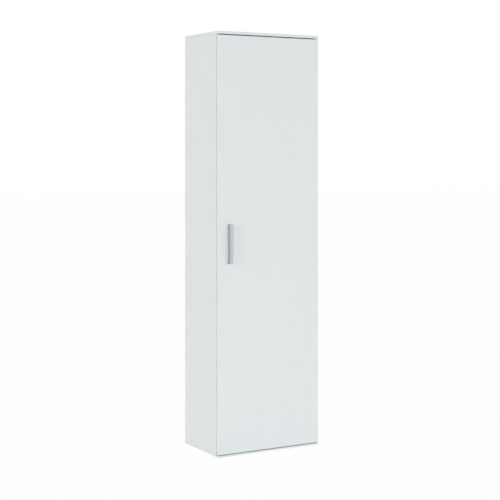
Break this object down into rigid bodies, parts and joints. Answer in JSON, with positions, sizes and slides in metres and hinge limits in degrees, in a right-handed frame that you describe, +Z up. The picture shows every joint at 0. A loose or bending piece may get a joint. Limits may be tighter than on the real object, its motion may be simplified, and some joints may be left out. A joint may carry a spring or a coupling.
{
  "type": "single-door wardrobe",
  "caption": "Tall slim wardrobe with one hinged door, bow handle, hat shelf and front-to-back hanging rail, door on concealed cup hinges.",
  "frame": {"origin": "on the floor, in the middle of the whole cabinet's box, its handle included", "axes": "+Z up, +X to the right seen from the front, the front faces -Y"},
  "size_m": [0.5, 0.331, 1.8],
  "materials": {
    "white_melamine": "white melamine-faced board, fine satin texture",
    "white_hdf": "white-lacquered thin fibreboard",
    "handle_satin": "satin grey metal",
    "hinge_nickel": "nickel-plated pressed steel",
    "rail_chrome": "bright chrome tube",
    "cast_zinc": "raw die-cast zinc",
    "bolt_steel": "bright zinc-plated steel",
    "white_plastic": "white moulded plastic",
    "clear_rubber": "translucent soft plastic dot",
    "bracket_zinc": "zinc-plated steel angle"
  },
  "bodies": {
    "carcass": {"side_left": "white_melamine", "side_right": "white_melamine", "top_panel": "white_melamine", "base_panel": "white_melamine", "back_panel": "white_hdf", "hat_shelf": "white_melamine", "hinge_arm_1": "hinge_nickel", "hinge_arm_2": "hinge_nickel", "hinge_arm_3": "hinge_nickel", "hinge_arm_4": "hinge_nickel", "hinge_plate_1": "hinge_nickel", "hinge_plate_2": "hinge_nickel", "hinge_plate_3": "hinge_nickel", "hinge_plate_4": "hinge_nickel", "hanging_rail": "rail_chrome", "rail_bracket_front": "cast_zinc", "rail_bracket_back": "cast_zinc", "shelf_pin_left_front": "bolt_steel", "shelf_pin_left_back": "bolt_steel", "shelf_pin_right_front": "bolt_steel", "shelf_pin_right_back": "bolt_steel", "glide_left_front": "white_plastic", "glide_left_back": "white_plastic", "glide_right_front": "white_plastic", "glide_right_back": "white_plastic", "cam_top_left_front": "cast_zinc", "cam_top_left_back": "cast_zinc", "cam_top_right_front": "cast_zinc", "cam_top_right_back": "cast_zinc", "cam_base_left_front": "cast_zinc", "cam_base_left_back": "cast_zinc", "cam_base_right_front": "cast_zinc", "cam_base_right_back": "cast_zinc", "cam_bolt_top_left_front": "bolt_steel", "cam_bolt_top_left_back": "bolt_steel", "cam_bolt_top_right_front": "bolt_steel", "cam_bolt_top_right_back": "bolt_steel", "cam_bolt_base_left_front": "bolt_steel", "cam_bolt_base_left_back": "bolt_steel", "cam_bolt_base_right_front": "bolt_steel", "cam_bolt_base_right_back": "bolt_steel", "door_bumper_lower": "clear_rubber", "door_bumper_upper": "clear_rubber", "wall_bracket": "bracket_zinc"},
    "door_leaf": {"door": "white_melamine", "handle": "handle_satin", "handle_screw_lower": "bolt_steel", "handle_screw_upper": "bolt_steel", "hinge_cup_1": "hinge_nickel", "hinge_cup_2": "hinge_nickel", "hinge_cup_3": "hinge_nickel", "hinge_cup_4": "hinge_nickel", "hinge_pin_1": "bolt_steel", "hinge_pin_2": "bolt_steel", "hinge_pin_3": "bolt_steel", "hinge_pin_4": "bolt_steel"}
  },
  "joints": [
    {"name": "door_swing", "type": "hinge", "parent": "carcass", "child": "door_leaf", "pos_m": [0.2411, -0.1373, 0.9], "axis": [0, 0, 1], "range_deg": [0, 95]}
  ]
}
